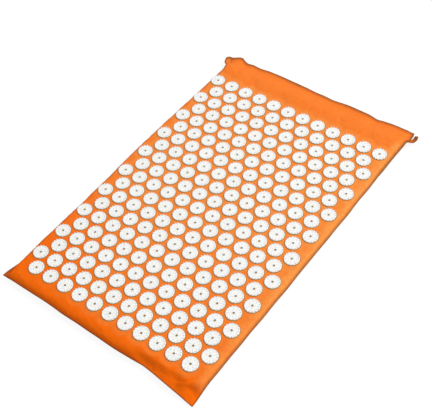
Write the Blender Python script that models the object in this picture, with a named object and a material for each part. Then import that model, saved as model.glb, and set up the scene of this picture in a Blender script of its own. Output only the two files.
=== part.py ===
"""Acupressure cushion: a foam pad in a sewn cloth cover that carries rows of spiked discs.

Anyone can run it: blender --background --python part.py
Lengths are metres. +Z is up and +Y runs towards the plain end of the cover. The origin is
on the floor, under the middle of the cushion.
"""

import math

import bmesh
import bpy

# Discs and the pattern that they make
DISC_DIAMETER = 0.028
DISC_RIM = 0.0008
DISC_CROWN = 0.0014
SPIKE_HEIGHT = 0.0042
SPIKE_INSET = 0.0014
DISC_SIDES = 12
DISC_GAP = 0.005
DIAGONAL_GAP = 0.0046
ROWS = 20
DISCS_IN_SHORT_ROW = 11

# Cloth that shows around the pattern
SIDE_FLAT = 0.0005
NEAR_FLAT = 0.013
FAR_FLAT = 0.040

# Edges of the cover
SEAM_EDGE = 0.001
HEM_DEPTH = 0.016
SIDE_ROUNDING = 0.0055
NEAR_ROUNDING = 0.0105
FAR_ROUNDING = 0.012
CORNER_RADIUS = 0.003
CROWN_CORNER_RADIUS = 0.022
SIDE_DRAW_IN = 0.0015
END_DRAW_IN = 0.003

# Thicknesses
CLOTH = 0.0008
FOAM_THICKNESS = 0.0175
CLEARANCE = 0.0003

# Foam pad
FOAM_SIDE_GAP = 0.0005
FOAM_CORNER_RADIUS = 0.014

# Closing tapes in the hem
TAPE_THICKNESS = 0.0008
TAPE_WIDTH = 0.012
TAPE_END_MARGIN = 0.014
HEM_OPENS_BEFORE = 0.030
HEM_OPENS_OVER = 0.022

# Cloth tabs beside the far corners
TAB_CLOTH = 0.0008
TAB_WIDTH = 0.018
TAB_REACH = 0.013
TAB_LOOP_HEIGHT = 0.002
TAB_FROM_FAR_EDGE = 0.005

# How finely curves are cut into flats
CORNER_STEPS = 3
SHORT_SIDE_POINTS = 5
LONG_SIDE_POINTS = 6
LAST_EVEN_STATION = 0.86
STATIONS_BY_THE_HEM = (0.90, 0.93, 0.96)
ROUNDING_STEPS = 3
TAPE_STEPS = 6
TAB_LOOP_STEPS = 8

# Sizes that follow from the ones above
DISC_RADIUS = DISC_DIAMETER / 2
DISC_PITCH = DISC_DIAMETER + DISC_GAP
ROW_PITCH = math.sqrt((DISC_DIAMETER + DIAGONAL_GAP) ** 2 - (DISC_PITCH / 2) ** 2)
PATTERN_HALF_WIDTH = DISCS_IN_SHORT_ROW * DISC_PITCH / 2 + DISC_RADIUS
PATTERN_LENGTH = (ROWS - 1) * ROW_PITCH + DISC_DIAMETER
HALF_WIDTH = PATTERN_HALF_WIDTH + SIDE_FLAT + SIDE_ROUNDING + SEAM_EDGE
NEAR_BAND = NEAR_FLAT + NEAR_ROUNDING + SEAM_EDGE
FAR_BAND = FAR_FLAT + FAR_ROUNDING + HEM_DEPTH
HALF_LENGTH = (NEAR_BAND + PATTERN_LENGTH + FAR_BAND) / 2
FIRST_ROW_Y = -HALF_LENGTH + NEAR_BAND + DISC_RADIUS

COVER_THICKNESS = 2 * CLOTH + 2 * CLEARANCE + FOAM_THICKNESS
SEAM_HEIGHT = COVER_THICKNESS / 2
SEAM_HALF_GAP = CLEARANCE / 2
HEM_LIFT = max(TAPE_THICKNESS, TAB_CLOTH) + CLEARANCE
DISC_BASE = COVER_THICKNESS + CLEARANCE
TAB_ROOT = SEAM_EDGE + CLOTH

# Colours as seen in daylight, 0 to 255
ORANGE = (255, 115, 20)
SHADED_ORANGE = (240, 100, 10)
DISC_WHITE = (244, 244, 242)
FOAM_CREAM = (238, 228, 200)
TAPE_ORANGE = (225, 95, 15)


def clear_scene():
    """Remove every object, so that the scene holds the cushion alone."""
    for obj in list(bpy.data.objects):
        bpy.data.objects.remove(obj, do_unlink=True)


def linear(channel):
    """Turn a 0 to 255 display value into the linear value that a material holds."""
    value = channel / 255
    if value <= 0.04045:
        return value / 12.92
    return ((value + 0.055) / 1.055) ** 2.4


def material(name, colour, roughness):
    """Make a plain non-metal material."""
    made = bpy.data.materials.new(name)
    made.use_nodes = True
    shader = made.node_tree.nodes["Principled BSDF"]
    shader.inputs["Base Color"].default_value = (*map(linear, colour), 1.0)
    shader.inputs["Roughness"].default_value = roughness
    shader.inputs["Metallic"].default_value = 0.0
    return made


def add_object(name, mesh, colour, roughness, location=(0.0, 0.0, 0.0)):
    """Put a mesh in the scene under its own name, with a material of its own."""
    mesh.shade_smooth()
    mesh.set_sharp_from_angle(angle=math.radians(40))
    obj = bpy.data.objects.new(name, mesh)
    obj.location = location
    bpy.context.scene.collection.objects.link(obj)
    obj.data.materials.append(material(name, colour, roughness))
    return obj


def mesh_of(name, points, faces):
    """Make a closed mesh, with its faces turned to point outwards."""
    work = bmesh.new()
    corners = [work.verts.new(point) for point in points]
    for face in faces:
        work.faces.new([corners[index] for index in face])
    bmesh.ops.recalc_face_normals(work, faces=work.faces)
    mesh = bpy.data.meshes.new(name)
    work.to_mesh(mesh)
    work.free()
    return mesh


def drawn_in(x, y):
    """Pull a point in towards the middle, most at the middle of each side, none at the corners."""
    across = x / HALF_WIDTH
    along = y / HALF_LENGTH
    x_new = x - across * SIDE_DRAW_IN * (1 - along**2)
    y_new = y - along * END_DRAW_IN * (1 - across**2)
    return x_new, y_new


def hem_lift(y):
    """How far each panel stands off the seam level at y, to leave room for the closing tapes."""
    start = HALF_LENGTH - HEM_DEPTH - HEM_OPENS_BEFORE - HEM_OPENS_OVER
    share = min(max((y - start) / HEM_OPENS_OVER, 0.0), 1.0)
    return HEM_LIFT * share


def outline(side, near, far, radius):
    """Points round a rounded rectangle, this far inside the cover's edges, anticlockwise from above."""
    x1 = HALF_WIDTH - side
    y0 = -HALF_LENGTH + near
    y1 = HALF_LENGTH - far
    centres = (
        (x1 - radius, y0 + radius, -90),
        (x1 - radius, y1 - radius, 0),
        (radius - x1, y1 - radius, 90),
        (radius - x1, y0 + radius, 180),
    )
    arcs = []
    for cx, cy, start in centres:
        angles = [math.radians(start + 90 * step / CORNER_STEPS) for step in range(CORNER_STEPS + 1)]
        arcs.append([(cx + radius * math.cos(a), cy + radius * math.sin(a)) for a in angles])
    even = [LAST_EVEN_STATION * step / LONG_SIDE_POINTS for step in range(1, LONG_SIDE_POINTS + 1)]
    up = even + list(STATIONS_BY_THE_HEM)
    down = [1 - share for share in reversed(up)]
    across = [step / (SHORT_SIDE_POINTS + 1) for step in range(1, SHORT_SIDE_POINTS + 1)]
    points = []
    for index, shares in enumerate((up, across, down, across)):
        points += arcs[index]
        begin = arcs[index][-1]
        end = arcs[(index + 1) % 4][0]
        points += [tuple(b + (e - b) * share for b, e in zip(begin, end)) for share in shares]
    return [drawn_in(x, y) for x, y in points]


def rounding_angles():
    """Angles from the seam level, 0, up to the flat of the panel, 90 degrees."""
    return [math.radians(90 * step / ROUNDING_STEPS) for step in range(ROUNDING_STEPS + 1)]


def rounded_ring(angle, offset, first_radius):
    """One outline on the rounded edge, this far inside the cover's outer surface at the seam level."""
    share = 1 - math.cos(angle)
    return outline(
        SEAM_EDGE + offset + (SIDE_ROUNDING - offset) * share,
        SEAM_EDGE + offset + (NEAR_ROUNDING - offset) * share,
        HEM_DEPTH + offset + (FAR_ROUNDING - offset) * share,
        first_radius + (CROWN_CORNER_RADIUS - first_radius) * share,
    )


def stacked_solid(name, rings):
    """Close a stack of rings of equal count with faces between them and a flat at each end."""
    count = len(rings[0])
    points = [point for ring in rings for point in ring]
    faces = []
    for level in range(len(rings) - 1):
        low = level * count
        high = low + count
        for i in range(count):
            j = (i + 1) % count
            faces.append((low + i, low + j, high + j, high + i))
    faces.append(tuple(range(count)))
    faces.append(tuple(range(len(points) - count, len(points))))
    return mesh_of(name, points, faces)


def panel_mesh(name, side_up):
    """A cloth panel: flat, rounded down to its seam edge, with a deeper hem at the far end.

    side_up is 1 for the top panel and -1 for the bottom one, its mirror image about the seam.
    """

    def height(y, rise, surface):
        """rise runs from 0 at the seam level to 1 at the flat; surface is 0 inside, 1 outside."""
        low = SEAM_HALF_GAP + hem_lift(y) + CLOTH * surface
        high = COVER_THICKNESS / 2 - CLOTH * (1 - surface)
        return SEAM_HEIGHT + side_up * (low + (high - low) * rise)

    edge = outline(0.0, 0.0, 0.0, CORNER_RADIUS)
    inner = []
    outer = []
    for angle in rounding_angles():
        rise = math.sin(angle)
        inner.append([(x, y, height(y, rise, 0)) for x, y in rounded_ring(angle, CLOTH, CORNER_RADIUS)])
        outer.append([(x, y, height(y, rise, 1)) for x, y in rounded_ring(angle, 0.0, CORNER_RADIUS)])
    seam_inside = [(x, y, height(y, 0.0, 0)) for x, y in edge]
    seam_outside = [(x, y, height(y, 0.0, 1)) for x, y in edge]
    return stacked_solid(name, inner[::-1] + [seam_inside, seam_outside] + outer)


def foam_mesh():
    """The foam slab, rounded where the cover presses on its edges."""
    half = FOAM_THICKNESS / 2
    offset = CLOTH + FOAM_SIDE_GAP
    rings = []
    for side_up, angles in ((-1, rounding_angles()[::-1]), (1, rounding_angles()[1:])):
        for angle in angles:
            level = SEAM_HEIGHT + side_up * half * math.sin(angle)
            ring = rounded_ring(angle, offset, FOAM_CORNER_RADIUS)
            rings.append([(x, y, level) for x, y in ring])
    return stacked_solid("foam_pad", rings)


def tape_mesh(name, bottom):
    """A closing tape that follows the hem, from its lower face at this height."""
    half = HALF_WIDTH - TAPE_END_MARGIN
    middle = HALF_LENGTH - HEM_DEPTH / 2
    stations = [half * (2 * step / TAPE_STEPS - 1) for step in range(TAPE_STEPS + 1)]
    rings = []
    for x in stations:
        section = (
            (middle - TAPE_WIDTH / 2, bottom),
            (middle + TAPE_WIDTH / 2, bottom),
            (middle + TAPE_WIDTH / 2, bottom + TAPE_THICKNESS),
            (middle - TAPE_WIDTH / 2, bottom + TAPE_THICKNESS),
        )
        rings.append([(*drawn_in(x, y), z) for y, z in section])
    return stacked_solid(name, rings)


def tab_section():
    """Section of the folded tab, across (from the seam edge outwards) and up from the seam level.

    The middle of the cloth follows a teardrop, from the seam to the fold and back. Its two
    sides lie half a cloth to the left and right of that line.
    """
    least = CLEARANCE / 2 + TAB_CLOTH / 2
    middle = [(-TAB_ROOT, least)]
    for step in range(1, 2 * TAB_LOOP_STEPS):
        turn = math.pi * step / TAB_LOOP_STEPS
        across = (TAB_REACH - TAB_CLOTH / 2) * (1 - math.cos(turn)) / 2
        lobe = (least + TAB_LOOP_HEIGHT * math.sin(turn / 2)) * math.sin(turn)
        if step == TAB_LOOP_STEPS:
            lobe = 0.0
        elif across < TAB_REACH / 2:
            lobe = math.copysign(max(abs(lobe), least), lobe)
        middle.append((across, lobe))
    middle.append((-TAB_ROOT, -least))
    sides = ([], [])
    for index, (across, up) in enumerate(middle):
        before = middle[max(index - 1, 0)]
        after = middle[min(index + 1, len(middle) - 1)]
        run = (after[0] - before[0], after[1] - before[1])
        length = math.hypot(*run)
        if index in (0, len(middle) - 1):
            normal = (0.0, math.copysign(1.0, up))
        else:
            normal = (-run[1] / length, run[0] / length)
        for side, way in zip(sides, (0.5, -0.5)):
            side.append((across + way * TAB_CLOTH * normal[0], up + way * TAB_CLOTH * normal[1]))
    return sides


def tab_mesh(name, side):
    """A strip of cloth folded in two, its ends held between the panels. side is 1 or -1 along X."""
    outside, inside = tab_section()
    section = outside + inside[::-1]
    far = HALF_LENGTH - TAB_FROM_FAR_EDGE
    rings = []
    for y in (far - TAB_WIDTH, far):
        rings.append([(side * (HALF_WIDTH + across), y, SEAM_HEIGHT + up) for across, up in section])
    return stacked_solid(name, rings)


def disc_row_mesh(name, count):
    """A row of discs, centred on X, joined edge to edge by the film that sticks them down.

    Each disc is a polygon with a thin rim. Above the middle of each side stands a spike, and
    the top falls from the spikes to a low centre.
    """
    points = []
    faces = []
    size = 3 * DISC_SIDES + 1
    half_turn = DISC_SIDES // 2
    for disc in range(count):
        centre = (disc - (count - 1) / 2) * DISC_PITCH
        first = disc * size
        for level in (0.0, DISC_RIM):
            for side in range(DISC_SIDES):
                angle = 2 * math.pi * (side - 0.5) / DISC_SIDES
                x = centre + DISC_RADIUS * math.cos(angle)
                points.append((x, DISC_RADIUS * math.sin(angle), level))
        reach = DISC_RADIUS * math.cos(math.pi / DISC_SIDES) - SPIKE_INSET
        for side in range(DISC_SIDES):
            angle = 2 * math.pi * side / DISC_SIDES
            points.append((centre + reach * math.cos(angle), reach * math.sin(angle), SPIKE_HEIGHT))
        points.append((centre, 0.0, DISC_CROWN))
        middle = first + size - 1
        faces.append(tuple(first + side for side in range(DISC_SIDES)))
        for side in range(DISC_SIDES):
            low_a = first + side
            low_b = first + (side + 1) % DISC_SIDES
            rim_a = low_a + DISC_SIDES
            rim_b = low_b + DISC_SIDES
            tip = first + 2 * DISC_SIDES + side
            faces += [(rim_a, rim_b, tip), (rim_a, tip, middle), (tip, rim_b, middle)]
            joined = (side == 0 and disc < count - 1) or (side == half_turn and disc > 0)
            if not joined:
                faces.append((low_a, low_b, rim_b, rim_a))
        if disc < count - 1:
            a, b = first, first + 1
            c, d = first + size + half_turn, first + size + half_turn + 1
            faces.append((a, b, c, d))
            up = DISC_SIDES
            faces.append((a + up, b + up, c + up, d + up))
            faces.append((a, d, d + up, a + up))
            faces.append((b, c, c + up, b + up))
    return mesh_of(name, points, faces)


def build_cover():
    """The two cloth panels that are sewn together along three sides."""
    add_object("cover_top_panel", panel_mesh("cover_top_panel", 1), ORANGE, 0.85)
    add_object("cover_bottom_panel", panel_mesh("cover_bottom_panel", -1), SHADED_ORANGE, 0.85)


def build_filling():
    """The foam slab inside the cover."""
    add_object("foam_pad", foam_mesh(), FOAM_CREAM, 0.95)


def build_closing():
    """The hook tape under the top panel's hem, and the loop tape that it presses on."""
    hook_bottom = SEAM_HEIGHT + SEAM_HALF_GAP
    loop_bottom = SEAM_HEIGHT - SEAM_HALF_GAP - TAPE_THICKNESS
    add_object("closing_hook_tape", tape_mesh("closing_hook_tape", hook_bottom), TAPE_ORANGE, 0.7)
    add_object("closing_loop_tape", tape_mesh("closing_loop_tape", loop_bottom), TAPE_ORANGE, 0.95)


def build_tabs():
    """The small folded tabs that stick out of the side seams."""
    for name, side in (("corner_tab_left", -1), ("corner_tab_right", 1)):
        add_object(name, tab_mesh(name, side), ORANGE, 0.85)


def build_disc_rows():
    """Rows of discs from the near end, short and long in turn, each on the cloth."""
    for row in range(ROWS):
        name = f"disc_row_{row + 1:02d}"
        count = DISCS_IN_SHORT_ROW + row % 2
        place = (0.0, FIRST_ROW_Y + row * ROW_PITCH, DISC_BASE)
        add_object(name, disc_row_mesh(name, count), DISC_WHITE, 0.3, place)


clear_scene()
build_cover()
build_filling()
build_closing()
build_tabs()
build_disc_rows()
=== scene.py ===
"""Looks of the acupressure cushion: a sewn cloth cover over a foam slab, with spiked discs on it.

Lengths are metres, or millimetres where a docstring says so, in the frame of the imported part:
+Z up, +Y towards the cushion's plain end.
"""

import logging
from dataclasses import dataclass
from enum import Enum
from functools import cache
from typing import Callable, Sequence

import bpy
import numpy as np
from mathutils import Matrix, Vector

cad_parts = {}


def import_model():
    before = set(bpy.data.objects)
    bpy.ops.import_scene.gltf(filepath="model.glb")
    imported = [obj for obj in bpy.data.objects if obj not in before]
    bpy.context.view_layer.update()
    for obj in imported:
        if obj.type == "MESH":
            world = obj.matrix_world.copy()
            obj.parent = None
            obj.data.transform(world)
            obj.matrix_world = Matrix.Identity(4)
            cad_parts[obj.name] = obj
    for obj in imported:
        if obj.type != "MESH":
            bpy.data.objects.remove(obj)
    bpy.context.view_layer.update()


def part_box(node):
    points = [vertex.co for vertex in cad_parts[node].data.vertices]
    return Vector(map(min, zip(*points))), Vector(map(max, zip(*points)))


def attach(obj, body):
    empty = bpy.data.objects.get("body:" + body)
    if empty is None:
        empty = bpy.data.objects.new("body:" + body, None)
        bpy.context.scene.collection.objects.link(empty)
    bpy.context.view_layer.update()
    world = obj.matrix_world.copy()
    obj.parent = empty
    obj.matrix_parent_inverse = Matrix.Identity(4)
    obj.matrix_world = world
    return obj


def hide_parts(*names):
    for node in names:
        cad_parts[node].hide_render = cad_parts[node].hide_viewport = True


LOG = logging.getLogger("cushion")
BODY = "root"
MM = 0.001
DISC_RADIUS = 14 * MM
CLOTH_STEPS = 20
WHITE = (1.0, 1.0, 1.0, 1.0)

Colour = tuple[int, int, int]
Shade = tuple[float, float, float, float]
Row = tuple[float, ...]
Grid = np.ndarray
Grids = tuple[Grid, ...]
Socket = bpy.types.NodeSocket
Sockets = bpy.types.bpy_prop_collection
Value = Socket | float | tuple


# Formulas on whole arrays


def smooth(value: Grid, start: float, end: float) -> Grid:
    """Rise from 0 at start to 1 at end along t * t * (3 - 2 t), flat beyond both.

    Args:
        value: Where to read the rise.
        start: Value at which it leaves 0.
        end: Value at which it reaches 1; below start for a fall.

    Returns:
        The rise, of the same shape as value.
    """
    t = np.clip((value - start) / (end - start), 0.0, 1.0)
    return t * t * (3.0 - 2.0 * t)


def ramp(value: Grid, start: float, end: float) -> Grid:
    """The same rise between two lengths in millimetres, of a value in metres."""
    return smooth(value, start * MM, end * MM)


def ramps(value: Grid, *steps: Row) -> Grid:
    """Sum of rises in metres, from each one's height, start and end in millimetres."""
    return sum(rise * MM * ramp(value, start, end) for rise, start, end in steps)


def metres(*rows: Row) -> tuple[Row, ...]:
    """Rows of millimetres as metres."""
    return tuple(tuple(value * MM for value in row) for row in rows)


def stacked(*parts: Grid | float) -> Grid:
    """Grids of equal or stretchable shape side by side, as the coordinates of points are."""
    return np.stack(np.broadcast_arrays(*parts), axis=-1)


def unit(vectors: Grid) -> Grid:
    """Vectors shortened or stretched to length 1."""
    return vectors / np.linalg.norm(vectors, axis=-1, keepdims=True)


def rounded(distance: Grid, reach: Grid | float, power: float = 2.0) -> Grid:
    """Quarter of a superellipse: 0 at the edge, upright there, and level with 1 at reach.

    The formula is (1 - (1 - d / reach) ** power) ** (1 / power).

    Args:
        distance: Distance inside the edge.
        reach: Distance at which the curve levels out.
        power: 2 is an ellipse; more is squarer.

    Returns:
        Share of the full height.
    """
    t = np.clip(distance / reach, 0.0, 1.0)
    return (1.0 - (1.0 - t) ** power) ** (1.0 / power)


def circle_angles(count: int) -> Grid:
    """Equal angles round a circle, as one row."""
    return np.linspace(0, 2 * np.pi, count, endpoint=False)[None, :]


def hump(value: Grid, middle: float, reach: float) -> Grid:
    """A bell of height 1: exp(-((v - middle) / reach) ** 2)."""
    return np.exp(-(((value - middle) / reach) ** 2))


def relief(seed: int, x: Grid, y: Grid, size: float, waves: int = 9) -> Grid:
    """Gentle random relief between about -1 and 1.

    It is the sum of sine waves over the square root of their number. Directions, phases and
    lengths, which lie from 0.7 to 1.5 times size, come from the seed.

    Args:
        seed: Start of the random numbers.
        x: First coordinate.
        y: Second coordinate, of the same shape.
        size: Middle wave length in metres.
        waves: Number of waves.

    Returns:
        The relief, of the same shape as x.
    """
    draw = np.random.default_rng(seed)
    angle = draw.uniform(0.0, 2.0 * np.pi, waves)
    phase = draw.uniform(0.0, 2.0 * np.pi, waves)
    turns = 2.0 * np.pi / (size * draw.uniform(0.7, 1.5, waves))
    along = x[..., None] * (turns * np.cos(angle)) + y[..., None] * (turns * np.sin(angle))
    return np.sin(along + phase).sum(-1) / np.sqrt(waves)


def stations(length: float, count: int, crowding: float, zone: float) -> Grid:
    """Shares from 0 to 1 along a side, closer together towards both ends.

    The density is 1 + crowding * exp(-d / zone), with d the distance to the nearer end, and
    the stations cut its running sum into equal parts.

    Args:
        length: Length of the side.
        count: Number of stations.
        crowding: How much denser the ends are.
        zone: Distance over which that fades.

    Returns:
        The shares, from 0 to 1.
    """
    share = np.linspace(0.0, 1.0, 4001)
    near = length * np.minimum(share, 1.0 - share)
    density = 1.0 + crowding * np.exp(-near / zone)
    running = np.concatenate([[0.0], np.cumsum((density[1:] + density[:-1]) / 2.0)])
    return np.interp(np.linspace(0.0, running[-1], count), running, share)


def running_length(points: Grid, axis: int) -> Grid:
    """Length along the grid lines of one direction, from 0 at the first station."""
    steps = np.linalg.norm(np.diff(points, axis=axis), axis=-1)
    pad = [(0, 0), (0, 0)]
    pad[axis] = (1, 0)
    return np.pad(np.cumsum(steps, axis=axis), pad)


def grid_normals(points: Grid) -> Grid:
    """Unit normals of a grid: the cross product of its two directions of travel."""
    return unit(np.cross(np.gradient(points, axis=1), np.gradient(points, axis=0)))


def grid_quads(rows: int, columns: int, wrap: bool = False) -> Grid:
    """Corner numbers of the quads of a grid that is stored row by row.

    Args:
        rows: Number of rows.
        columns: Number of columns.
        wrap: Whether the last column joins the first.

    Returns:
        An array of four corners a quad. They run anticlockwise where columns go to the right
        and rows go up.
    """
    index = np.arange(rows * columns).reshape(rows, columns)
    if wrap:
        index = np.concatenate([index, index[:, :1]], axis=1)
    corners = (index[:-1, :-1], index[:-1, 1:], index[1:, 1:], index[1:, :-1])
    return stacked(*corners).reshape(-1, 4)


# Meshes


@dataclass
class Form:
    """A surface as arrays: its points, its faces by number of corners, and what it carries."""

    points: Grid
    faces: list[Grid]
    uv: Grid | None = None
    marks: dict[str, Grid] | None = None

    def volume(self) -> float:
        """Six times the signed volume, positive where faces point outwards."""
        total = 0.0
        for block in self.faces:
            first = self.points[block[:, 0]]
            for corner in range(1, block.shape[1] - 1):
                second = self.points[block[:, corner]]
                third = self.points[block[:, corner + 1]]
                total += float(np.einsum("ij,ij->", first, np.cross(second, third)))
        return total

    def outward(self) -> "Form":
        """Turn every face round if the closed surface is inside out."""
        if self.volume() < 0.0:
            self.faces = [block[:, ::-1] for block in self.faces]
        return self

    def object(self, name: str, crease: float = 40.0) -> bpy.types.Object:
        """Make the mesh and its object, shaded smooth apart from edges sharper than crease.

        Args:
            name: Name of both.
            crease: Angle in degrees.

        Returns:
            The new object, in the scene.
        """
        mesh = bpy.data.meshes.new(name)
        corners = np.concatenate([block.ravel() for block in self.faces]).astype(np.int32)
        totals = np.concatenate([np.full(len(block), block.shape[1]) for block in self.faces])
        starts = np.concatenate([[0], np.cumsum(totals)[:-1]]).astype(np.int32)
        mesh.vertices.add(len(self.points))
        mesh.vertices.foreach_set("co", self.points.astype(np.float32).ravel())
        mesh.loops.add(len(corners))
        mesh.loops.foreach_set("vertex_index", corners)
        mesh.polygons.add(len(totals))
        mesh.polygons.foreach_set("loop_start", starts)
        mesh.update(calc_edges=True)
        if self.uv is not None:
            layer = mesh.uv_layers.new(name="cut")
            layer.data.foreach_set("uv", self.uv[corners].astype(np.float32).ravel())
        for mark, values in (self.marks or {}).items():
            attribute = mesh.attributes.new(mark, "FLOAT", "POINT")
            attribute.data.foreach_set("value", values.astype(np.float32).ravel())
        mesh.validate()
        mesh.shade_smooth()
        mesh.set_sharp_from_angle(angle=np.radians(crease))
        made = bpy.data.objects.new(name, mesh)
        bpy.context.scene.collection.objects.link(made)
        return made


def shell(outer: Grid, inner: Grid, uv: Grid, marks: dict[str, Grid]) -> Form:
    """Close two grids of equal size into a thin shell, with a strip of quads round the border.

    Args:
        outer: The side that shows, rows by columns by 3.
        inner: The side within, of the same shape.
        uv: Flat coordinates, rows by columns by 2.
        marks: Values on the points, each rows by columns.

    Returns:
        The closed form, facing outwards.
    """
    rows, columns = outer.shape[:2]
    count = rows * columns
    index = np.arange(count).reshape(rows, columns)
    border = np.concatenate([index[0, :-1], index[:-1, -1], index[-1, :0:-1], index[:0:-1, 0]])
    after = np.roll(border, -1)
    quads = grid_quads(rows, columns)
    rim = stacked(border, border + count, after + count, after)
    return Form(
        np.concatenate([outer.reshape(-1, 3), inner.reshape(-1, 3)]),
        [quads, quads[:, ::-1] + count, rim],
        np.tile(uv.reshape(-1, 2), (2, 1)),
        {name: np.tile(value.ravel(), 2) for name, value in marks.items()},
    ).outward()


def tube(rings: Grid, uv_size: tuple[float, float] | None = None) -> Form:
    """Join closed rings of equal count into one skin, with a flat face over each end.

    Args:
        rings: Stations by corners by 3.
        uv_size: Length and girth for a UV map, or None for no map.

    Returns:
        The closed form, facing outwards.
    """
    count, corners = rings.shape[:2]
    first = np.arange(corners)[None, ::-1]
    last = first[:, ::-1] + (count - 1) * corners
    uv = None
    if uv_size is not None:
        along = np.linspace(0.0, uv_size[0], count)
        around = np.linspace(0.0, uv_size[1], corners)
        uv = stacked(along[:, None], around[None, :]).reshape(-1, 2)
    return Form(rings.reshape(-1, 3), [grid_quads(count, corners, True), first, last], uv).outward()


def joined(forms: Sequence[Form]) -> Form:
    """Put forms that carry the same marks, and no map, into one."""
    counts = [len(form.points) for form in forms]
    offsets = np.concatenate([[0], np.cumsum(counts)[:-1]]).astype(int)
    faces = [block + off for form, off in zip(forms, offsets) for block in form.faces]
    names = (forms[0].marks or {}).keys()
    marks = {name: np.concatenate([form.marks[name] for form in forms]) for name in names}
    return Form(np.concatenate([form.points for form in forms]), faces, None, marks)


def repeated(single: Form, turn: Grid, shift: Grid) -> Form:
    """Copy a form to many places.

    Each copy's points are the single form's points times its own 3 by 3 matrix, plus its shift.

    Args:
        single: The form to copy.
        turn: Copies by 3 by 3.
        shift: Copies by 3.

    Returns:
        All copies as one form.
    """
    copies = len(shift)
    count = len(single.points)
    points = np.einsum("nij,pj->npi", turn, single.points) + shift[:, None, :]
    offset = (np.arange(copies) * count)[:, None, None]
    faces = [(block[None] + offset).reshape(-1, block.shape[1]) for block in single.faces]
    uv = None if single.uv is None else np.tile(single.uv, (copies, 1))
    marks = {name: np.tile(value, copies) for name, value in (single.marks or {}).items()}
    return Form(points.reshape(-1, 3), faces, uv, marks)


# Shader graphs


class Graph:
    """Adds and joins the nodes of one tree."""

    def __init__(self, tree: bpy.types.NodeTree) -> None:
        """Work on this tree."""
        self.tree = tree

    def feed(self, node: bpy.types.Node, inputs: dict) -> None:
        """Give a node's inputs, by name or number, their values or sockets."""
        for key, value in inputs.items():
            if isinstance(value, Socket):
                self.tree.links.new(value, node.inputs[key])
            else:
                node.inputs[key].default_value = value

    def add(self, kind: str, inputs: dict | None = None, **settings) -> Sockets:
        """Add a node.

        Args:
            kind: Blender's name of the node's type, without the ShaderNode before it.
            inputs: Values or sockets for its inputs, by name or number.
            **settings: The node's own properties.

        Returns:
            The node's outputs.
        """
        node = self.tree.nodes.new(f"ShaderNode{kind}")
        for key, value in settings.items():
            setattr(node, key, value)
        self.feed(node, inputs or {})
        return node.outputs

    def maths(self, operation: str, *values: Value) -> Socket:
        """Result of a Math node on one to three values or sockets."""
        return self.add("Math", dict(enumerate(values)), operation=operation)[0]

    def spread(self, value: Value, *ends: float) -> Socket:
        """Carry value from the range of the first two ends to that of the last two, and hold it."""
        return self.add("MapRange", dict(enumerate((value, *ends))))[0]

    def mix(self, share: Value, first: Value, second: Value) -> Socket:
        """Mix two colours by share."""
        return self.add("Mix", {0: share, 6: first, 7: second}, data_type="RGBA")[2]

    def noise(self, vector: Value, scale: Value, detail: float = 2.0, rough: float = 0.5) -> Socket:
        """Value of a noise texture, from 0 to 1."""
        inputs = {"Vector": vector, "Scale": scale, "Detail": detail, "Roughness": rough}
        return self.add("TexNoise", inputs)[0]

    def cells(self, scale: float, randomness: float = 1.0) -> Socket:
        """Distance to the middle of the nearest cell of a cell texture."""
        inputs = {"Vector": self.place(), "Scale": scale, "Randomness": randomness}
        return self.add("TexVoronoi", inputs)[0]

    def place(self) -> Socket:
        """Place on the object."""
        return self.add("TexCoord")["Object"]

    def cut(self) -> Socket:
        """Place on the piece's own flat map."""
        return self.add("UVMap", uv_map="cut")[0]

    def mark(self, name: str) -> Socket:
        """A value that the mesh carries."""
        return self.add("Attribute", attribute_name=name)["Fac"]

    def bump(self, height: Socket, strength: float, distance: float) -> Socket:
        """Normals of a fine relief."""
        inputs = {"Height": height, "Strength": strength, "Distance": distance}
        return self.add("Bump", inputs)[0]

    def effect(self, effect: "Effect", inputs: dict) -> Sockets:
        """Outputs of a shared effect."""
        return self.add("Group", inputs, node_tree=effect.tree())

    def drift(self, spots: float, amount: float) -> Socket:
        """Tone that changes slowly over the object, in spots of this number to the metre."""
        inputs = {"Vector": self.place(), "Spots": spots, "Amount": amount}
        return self.effect(TONE_DRIFT, inputs)["Tone"]

    def painted_mask(self, mark: str, amount: float, grain: float) -> Socket:
        """Where the mesh is marked for painted light or painted shade, from 0 to 1."""
        inputs = {"Mark": self.mark(mark), "Amount": amount, "Grain": grain}
        return self.effect(PAINTED_LIGHT_AND_SHADE, {"Vector": self.place(), **inputs})["Mask"]


@dataclass(frozen=True)
class Effect:
    """A node group that finishes share: a vector and a few values in, plain values out."""

    name: str
    inputs: dict[str, float]
    outputs: tuple[str, ...]
    wire: Callable[[Graph, Sockets], tuple[Socket, ...]]

    def tree(self) -> bpy.types.NodeTree:
        """The group, made once."""
        if self.name in bpy.data.node_groups:
            return bpy.data.node_groups[self.name]
        tree = bpy.data.node_groups.new(self.name, "ShaderNodeTree")
        add = tree.interface.new_socket
        add(name="Vector", in_out="INPUT", socket_type="NodeSocketVector")
        for key, value in self.inputs.items():
            socket = add(name=key, in_out="INPUT", socket_type="NodeSocketFloat")
            socket.default_value = value
        for key in self.outputs:
            add(name=key, in_out="OUTPUT", socket_type="NodeSocketFloat")
        graph, given = Graph(tree), tree.nodes.new("NodeGroupInput")
        wanted = tree.nodes.new("NodeGroupOutput")
        graph.feed(wanted, dict(zip(self.outputs, self.wire(graph, given.outputs))))
        return tree


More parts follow.
